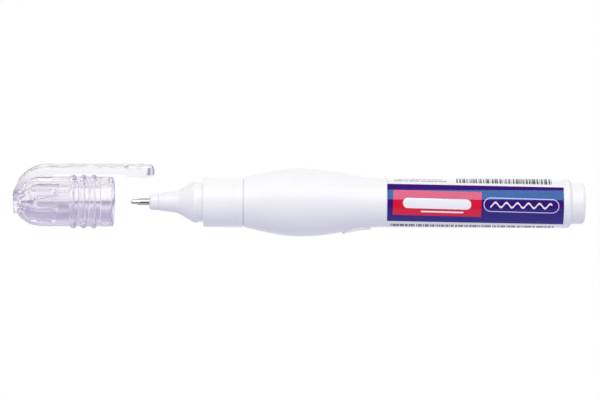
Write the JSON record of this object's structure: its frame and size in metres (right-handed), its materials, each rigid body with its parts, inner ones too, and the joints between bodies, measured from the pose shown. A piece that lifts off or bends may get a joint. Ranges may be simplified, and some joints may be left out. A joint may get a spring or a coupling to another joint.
{
  "type": "correction pen",
  "caption": "Squeeze correction pen with a bulged bottle, a sprung metal tip and a clear clip cap shown taken off, standing on its flat tail.",
  "frame": {"origin": "centre of the flat tail face, which the pen stands on", "axes": "+Z along the pen towards its tip; +X up in the picture, and the cap's clip lies on the +X side, turned 15 degrees towards -Y, the side the picture was taken from"},
  "size_m": [0.0204, 0.0192, 0.1617],
  "materials": {
    "white_plastic": "moulded, softly glossy",
    "bottle_plastic": "blown, softly glossy",
    "label_film": "glossy printed film",
    "clear_plastic": "clear, glossy",
    "bright_metal": "drawn and polished",
    "pale_ball": "ground ball",
    "spring_steel": "drawn wire",
    "steel_ball": "ground ball"
  },
  "bodies": {
    "pen": {"end_plug": "white_plastic", "bottle": "bottle_plastic", "mixing_ball": "steel_ball", "label": "label_film", "nozzle": "white_plastic", "nose_holder": "white_plastic", "spring_seat": "white_plastic", "valve_spring": "spring_steel", "metal_tip": "bright_metal"},
    "valve": {"valve_pin": "spring_steel", "tip_ball": "pale_ball"},
    "cap": {"cap": "clear_plastic"}
  },
  "joints": [
    {"name": "cap_slide", "type": "slide", "parent": "pen", "child": "cap", "axis": [0, 0, -1], "range_m": [0, 0.02545]},
    {"name": "tip_press", "type": "slide", "parent": "pen", "child": "valve", "axis": [0, 0, -1], "range_m": [0, 0.00025], "stiffness_N_per_m": 150, "springref_m": -0.001, "deforming": ["valve_spring"]}
  ]
}
